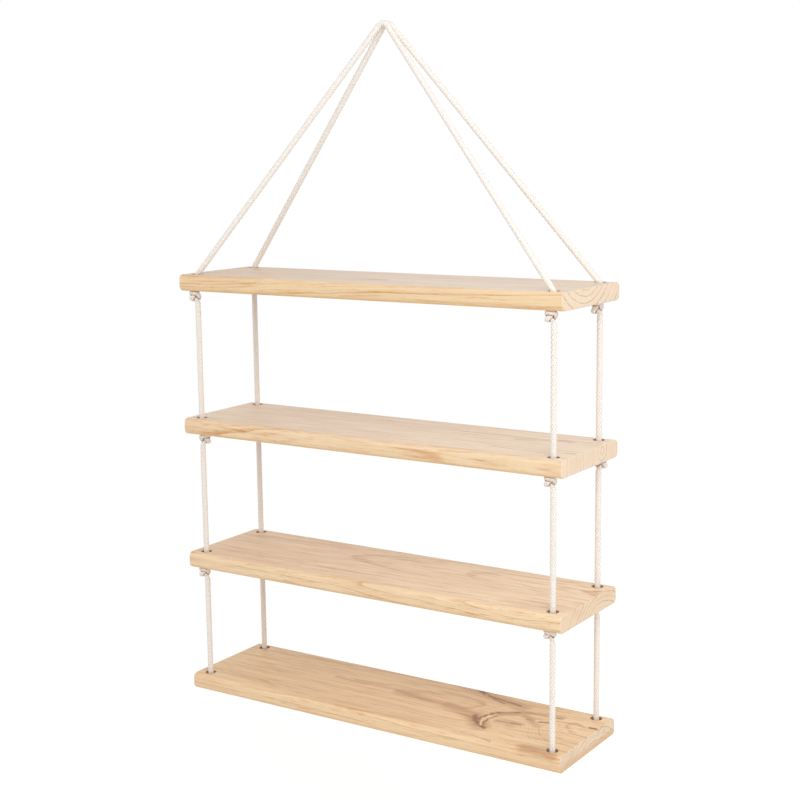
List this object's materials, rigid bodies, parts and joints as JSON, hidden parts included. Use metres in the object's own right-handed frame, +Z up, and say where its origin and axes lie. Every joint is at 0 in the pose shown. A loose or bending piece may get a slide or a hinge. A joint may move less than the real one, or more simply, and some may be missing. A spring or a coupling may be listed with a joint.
{
  "type": "hanging rope shelf",
  "caption": "Hanging shelf of pine boards one above the other on two cotton ropes that meet at a hook, each board resting on knots.",
  "frame": {"origin": "where the undersides of the two rope bights rest on the hook", "axes": "+Z up, +X to the right along the boards, -Y to the front"},
  "size_m": [0.6, 0.16, 0.9487],
  "materials": {
    "pine": "bare, sanded",
    "cotton_rope": "braided, matte"
  },
  "bodies": {
    "shelf_1": {"board_1": "pine", "sling_front": "cotton_rope", "sling_back": "cotton_rope", "knot_1_front_left": "cotton_rope", "knot_1_front_right": "cotton_rope", "knot_1_back_left": "cotton_rope", "knot_1_back_right": "cotton_rope"},
    "turn_2_front_left": {"bend_upper_2_front_left": "cotton_rope"},
    "rope_2_front_left": {"span_2_front_left": "cotton_rope"},
    "turn_2_front_right": {"bend_upper_2_front_right": "cotton_rope"},
    "rope_2_front_right": {"span_2_front_right": "cotton_rope"},
    "turn_2_back_left": {"bend_upper_2_back_left": "cotton_rope"},
    "rope_2_back_left": {"span_2_back_left": "cotton_rope"},
    "turn_2_back_right": {"bend_upper_2_back_right": "cotton_rope"},
    "rope_2_back_right": {"span_2_back_right": "cotton_rope"},
    "foot_2": {"bend_lower_2_front_left": "cotton_rope"},
    "shelf_2": {"board_2": "pine", "knot_2_front_left": "cotton_rope", "knot_2_front_right": "cotton_rope", "knot_2_back_left": "cotton_rope", "knot_2_back_right": "cotton_rope", "bend_lower_2_front_right": "cotton_rope", "bend_lower_2_back_left": "cotton_rope", "bend_lower_2_back_right": "cotton_rope"},
    "turn_3_front_left": {"bend_upper_3_front_left": "cotton_rope"},
    "rope_3_front_left": {"span_3_front_left": "cotton_rope"},
    "turn_3_front_right": {"bend_upper_3_front_right": "cotton_rope"},
    "rope_3_front_right": {"span_3_front_right": "cotton_rope"},
    "turn_3_back_left": {"bend_upper_3_back_left": "cotton_rope"},
    "rope_3_back_left": {"span_3_back_left": "cotton_rope"},
    "turn_3_back_right": {"bend_upper_3_back_right": "cotton_rope"},
    "rope_3_back_right": {"span_3_back_right": "cotton_rope"},
    "foot_3": {"bend_lower_3_front_left": "cotton_rope"},
    "shelf_3": {"board_3": "pine", "knot_3_front_left": "cotton_rope", "knot_3_front_right": "cotton_rope", "knot_3_back_left": "cotton_rope", "knot_3_back_right": "cotton_rope", "bend_lower_3_front_right": "cotton_rope", "bend_lower_3_back_left": "cotton_rope", "bend_lower_3_back_right": "cotton_rope"},
    "turn_4_front_left": {"bend_upper_4_front_left": "cotton_rope"},
    "rope_4_front_left": {"span_4_front_left": "cotton_rope"},
    "turn_4_front_right": {"bend_upper_4_front_right": "cotton_rope"},
    "rope_4_front_right": {"span_4_front_right": "cotton_rope"},
    "turn_4_back_left": {"bend_upper_4_back_left": "cotton_rope"},
    "rope_4_back_left": {"span_4_back_left": "cotton_rope"},
    "turn_4_back_right": {"bend_upper_4_back_right": "cotton_rope"},
    "rope_4_back_right": {"span_4_back_right": "cotton_rope"},
    "foot_4": {"bend_lower_4_front_left": "cotton_rope"},
    "shelf_4": {"board_4": "pine", "knot_4_front_left": "cotton_rope", "knot_4_front_right": "cotton_rope", "knot_4_back_left": "cotton_rope", "knot_4_back_right": "cotton_rope", "bend_lower_4_front_right": "cotton_rope", "bend_lower_4_back_left": "cotton_rope", "bend_lower_4_back_right": "cotton_rope"}
  },
  "joints": [
    {"name": "sway_2", "type": "hinge", "parent": "shelf_1", "child": "turn_2_front_left", "pos_m": [-0.2808, -0.0636, -0.37943], "axis": [0, 1, 0], "range_deg": [-30, 30]},
    {"name": "swing_2", "type": "hinge", "parent": "turn_2_front_left", "child": "rope_2_front_left", "pos_m": [-0.2808, -0.0636, -0.37943], "axis": [1, 0, 0], "range_deg": [-30, 30]},
    {"name": "sway_2_front_right", "type": "hinge", "parent": "shelf_1", "child": "turn_2_front_right", "pos_m": [0.2808, -0.0636, -0.37943], "axis": [0, 1, 0], "range_deg": [-30, 30]},
    {"name": "swing_2_front_right", "type": "hinge", "parent": "turn_2_front_right", "child": "rope_2_front_right", "pos_m": [0.2808, -0.0636, -0.37943], "axis": [1, 0, 0], "range_deg": [-30, 30]},
    {"name": "sway_2_back_left", "type": "hinge", "parent": "shelf_1", "child": "turn_2_back_left", "pos_m": [-0.2808, 0.0636, -0.37943], "axis": [0, 1, 0], "range_deg": [-30, 30]},
    {"name": "swing_2_back_left", "type": "hinge", "parent": "turn_2_back_left", "child": "rope_2_back_left", "pos_m": [-0.2808, 0.0636, -0.37943], "axis": [1, 0, 0], "range_deg": [-30, 30]},
    {"name": "sway_2_back_right", "type": "hinge", "parent": "shelf_1", "child": "turn_2_back_right", "pos_m": [0.2808, 0.0636, -0.37943], "axis": [0, 1, 0], "range_deg": [-30, 30]},
    {"name": "swing_2_back_right", "type": "hinge", "parent": "turn_2_back_right", "child": "rope_2_back_right", "pos_m": [0.2808, 0.0636, -0.37943], "axis": [1, 0, 0], "range_deg": [-30, 30]},
    {"name": "level_swing_2", "type": "hinge", "parent": "rope_2_front_left", "child": "foot_2", "pos_m": [-0.2808, -0.0636, -0.5275], "axis": [1, 0, 0], "range_deg": [-30, 30]},
    {"name": "level_sway_2", "type": "hinge", "parent": "foot_2", "child": "shelf_2", "pos_m": [-0.2808, -0.0636, -0.5275], "axis": [0, 1, 0], "range_deg": [-30, 30]},
    {"name": "sway_3", "type": "hinge", "parent": "shelf_2", "child": "turn_3_front_left", "pos_m": [-0.2808, -0.0636, -0.58393], "axis": [0, 1, 0], "range_deg": [-30, 30]},
    {"name": "swing_3", "type": "hinge", "parent": "turn_3_front_left", "child": "rope_3_front_left", "pos_m": [-0.2808, -0.0636, -0.58393], "axis": [1, 0, 0], "range_deg": [-30, 30]},
    {"name": "sway_3_front_right", "type": "hinge", "parent": "shelf_2", "child": "turn_3_front_right", "pos_m": [0.2808, -0.0636, -0.58393], "axis": [0, 1, 0], "range_deg": [-30, 30]},
    {"name": "swing_3_front_right", "type": "hinge", "parent": "turn_3_front_right", "child": "rope_3_front_right", "pos_m": [0.2808, -0.0636, -0.58393], "axis": [1, 0, 0], "range_deg": [-30, 30]},
    {"name": "sway_3_back_left", "type": "hinge", "parent": "shelf_2", "child": "turn_3_back_left", "pos_m": [-0.2808, 0.0636, -0.58393], "axis": [0, 1, 0], "range_deg": [-30, 30]},
    {"name": "swing_3_back_left", "type": "hinge", "parent": "turn_3_back_left", "child": "rope_3_back_left", "pos_m": [-0.2808, 0.0636, -0.58393], "axis": [1, 0, 0], "range_deg": [-30, 30]},
    {"name": "sway_3_back_right", "type": "hinge", "parent": "shelf_2", "child": "turn_3_back_right", "pos_m": [0.2808, 0.0636, -0.58393], "axis": [0, 1, 0], "range_deg": [-30, 30]},
    {"name": "swing_3_back_right", "type": "hinge", "parent": "turn_3_back_right", "child": "rope_3_back_right", "pos_m": [0.2808, 0.0636, -0.58393], "axis": [1, 0, 0], "range_deg": [-30, 30]},
    {"name": "level_swing_3", "type": "hinge", "parent": "rope_3_front_left", "child": "foot_3", "pos_m": [-0.2808, -0.0636, -0.724], "axis": [1, 0, 0], "range_deg": [-30, 30]},
    {"name": "level_sway_3", "type": "hinge", "parent": "foot_3", "child": "shelf_3", "pos_m": [-0.2808, -0.0636, -0.724], "axis": [0, 1, 0], "range_deg": [-30, 30]},
    {"name": "sway_4", "type": "hinge", "parent": "shelf_3", "child": "turn_4_front_left", "pos_m": [-0.2808, -0.0636, -0.78043], "axis": [0, 1, 0], "range_deg": [-30, 30]},
    {"name": "swing_4", "type": "hinge", "parent": "turn_4_front_left", "child": "rope_4_front_left", "pos_m": [-0.2808, -0.0636, -0.78043], "axis": [1, 0, 0], "range_deg": [-30, 30]},
    {"name": "sway_4_front_right", "type": "hinge", "parent": "shelf_3", "child": "turn_4_front_right", "pos_m": [0.2808, -0.0636, -0.78043], "axis": [0, 1, 0], "range_deg": [-30, 30]},
    {"name": "swing_4_front_right", "type": "hinge", "parent": "turn_4_front_right", "child": "rope_4_front_right", "pos_m": [0.2808, -0.0636, -0.78043], "axis": [1, 0, 0], "range_deg": [-30, 30]},
    {"name": "sway_4_back_left", "type": "hinge", "parent": "shelf_3", "child": "turn_4_back_left", "pos_m": [-0.2808, 0.0636, -0.78043], "axis": [0, 1, 0], "range_deg": [-30, 30]},
    {"name": "swing_4_back_left", "type": "hinge", "parent": "turn_4_back_left", "child": "rope_4_back_left", "pos_m": [-0.2808, 0.0636, -0.78043], "axis": [1, 0, 0], "range_deg": [-30, 30]},
    {"name": "sway_4_back_right", "type": "hinge", "parent": "shelf_3", "child": "turn_4_back_right", "pos_m": [0.2808, 0.0636, -0.78043], "axis": [0, 1, 0], "range_deg": [-30, 30]},
    {"name": "swing_4_back_right", "type": "hinge", "parent": "turn_4_back_right", "child": "rope_4_back_right", "pos_m": [0.2808, 0.0636, -0.78043], "axis": [1, 0, 0], "range_deg": [-30, 30]},
    {"name": "level_swing_4", "type": "hinge", "parent": "rope_4_front_left", "child": "foot_4", "pos_m": [-0.2808, -0.0636, -0.907], "axis": [1, 0, 0], "range_deg": [-30, 30]},
    {"name": "level_sway_4", "type": "hinge", "parent": "foot_4", "child": "shelf_4", "pos_m": [-0.2808, -0.0636, -0.907], "axis": [0, 1, 0], "range_deg": [-30, 30]}
  ],
  "couplings": [
    {"joint": "sway_2_front_right", "follows": "sway_2", "ratio": 1},
    {"joint": "swing_2_front_right", "follows": "swing_2", "ratio": 1},
    {"joint": "sway_2_back_left", "follows": "sway_2", "ratio": 1},
    {"joint": "swing_2_back_left", "follows": "swing_2", "ratio": 1},
    {"joint": "sway_2_back_right", "follows": "sway_2", "ratio": 1},
    {"joint": "swing_2_back_right", "follows": "swing_2", "ratio": 1},
    {"joint": "level_swing_2", "follows": "swing_2", "ratio": -1},
    {"joint": "level_sway_2", "follows": "sway_2", "ratio": -1},
    {"joint": "sway_3_front_right", "follows": "sway_3", "ratio": 1},
    {"joint": "swing_3_front_right", "follows": "swing_3", "ratio": 1},
    {"joint": "sway_3_back_left", "follows": "sway_3", "ratio": 1},
    {"joint": "swing_3_back_left", "follows": "swing_3", "ratio": 1},
    {"joint": "sway_3_back_right", "follows": "sway_3", "ratio": 1},
    {"joint": "swing_3_back_right", "follows": "swing_3", "ratio": 1},
    {"joint": "level_swing_3", "follows": "swing_3", "ratio": -1},
    {"joint": "level_sway_3", "follows": "sway_3", "ratio": -1},
    {"joint": "sway_4_front_right", "follows": "sway_4", "ratio": 1},
    {"joint": "swing_4_front_right", "follows": "swing_4", "ratio": 1},
    {"joint": "sway_4_back_left", "follows": "sway_4", "ratio": 1},
    {"joint": "swing_4_back_left", "follows": "swing_4", "ratio": 1},
    {"joint": "sway_4_back_right", "follows": "sway_4", "ratio": 1},
    {"joint": "swing_4_back_right", "follows": "swing_4", "ratio": 1},
    {"joint": "level_swing_4", "follows": "swing_4", "ratio": -1},
    {"joint": "level_sway_4", "follows": "sway_4", "ratio": -1}
  ]
}
